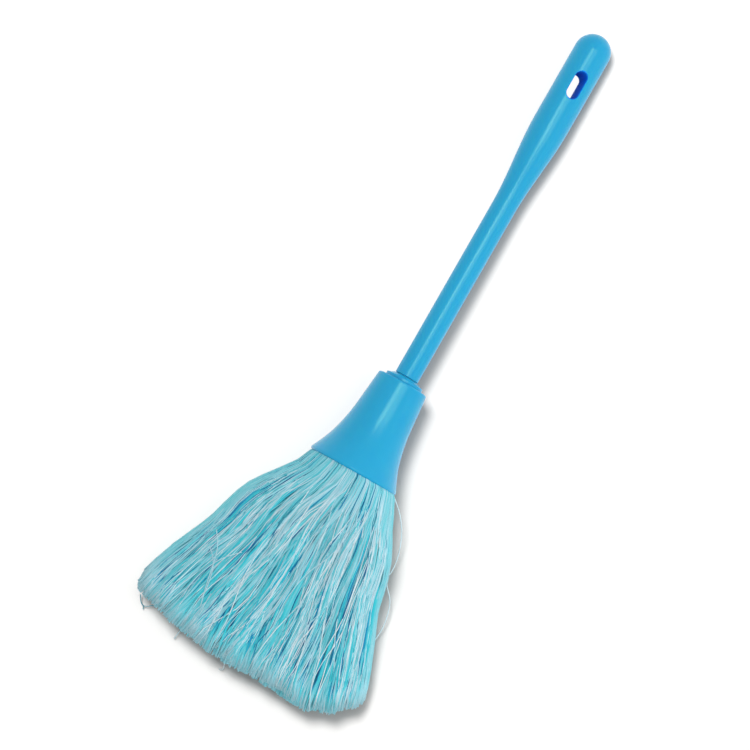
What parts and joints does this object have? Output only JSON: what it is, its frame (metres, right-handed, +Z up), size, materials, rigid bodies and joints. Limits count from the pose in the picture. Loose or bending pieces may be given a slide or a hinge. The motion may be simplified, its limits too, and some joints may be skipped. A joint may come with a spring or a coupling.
{
  "type": "microfiber duster",
  "caption": "Hand duster: a smooth blue handle with a hanging slot screws into a flared bell that holds a flat fan of soft microfiber yarn.",
  "frame": {"origin": "middle of the duster's box on the table that it lies on", "axes": "+Y along the duster from the yarn to the grip's tip, +Z up from the table"},
  "size_m": [0.2041, 0.5816, 0.0757],
  "materials": {
    "blue_plastic": "glossy injection-moulded polypropylene",
    "inner_plastic": "matt natural nylon",
    "plated_steel": "bright zinc plating",
    "tinplate": "satin rolled tinplate",
    "microfiber_yarn": "fluffy split polyester yarn, pale aqua with blue"
  },
  "bodies": {
    "head": {"bell_socket": "blue_plastic", "yarn_hub": "inner_plastic", "threaded_bush": "inner_plastic", "ferrule": "tinplate", "hub_screw_1": "plated_steel", "hub_screw_2": "plated_steel", "hub_screw_3": "plated_steel", "yarn_tuft_01": "microfiber_yarn", "yarn_tuft_02": "microfiber_yarn", "yarn_tuft_03": "microfiber_yarn", "yarn_tuft_04": "microfiber_yarn", "yarn_tuft_05": "microfiber_yarn", "yarn_tuft_06": "microfiber_yarn", "yarn_tuft_07": "microfiber_yarn", "yarn_tuft_08": "microfiber_yarn", "yarn_tuft_09": "microfiber_yarn", "yarn_tuft_10": "microfiber_yarn", "yarn_tuft_11": "microfiber_yarn", "yarn_tuft_12": "microfiber_yarn"},
    "collar": {"collar_ring": "blue_plastic"},
    "handle": {"handle": "blue_plastic", "threaded_spigot": "inner_plastic"}
  },
  "joints": [
    {"name": "collar_advance", "type": "slide", "parent": "head", "child": "collar", "axis": [0, 0.9982, -0.0604], "range_m": [0, 0.0201]},
    {"name": "handle_unscrew", "type": "hinge", "parent": "collar", "child": "handle", "pos_m": [0.0036, -0.02185, 0.03292], "axis": [0, 0.9982, -0.0604], "range_deg": [0, 1440]}
  ],
  "couplings": [
    {"joint": "collar_advance", "follows": "handle_unscrew", "m_per_rad": 0.00079577}
  ]
}
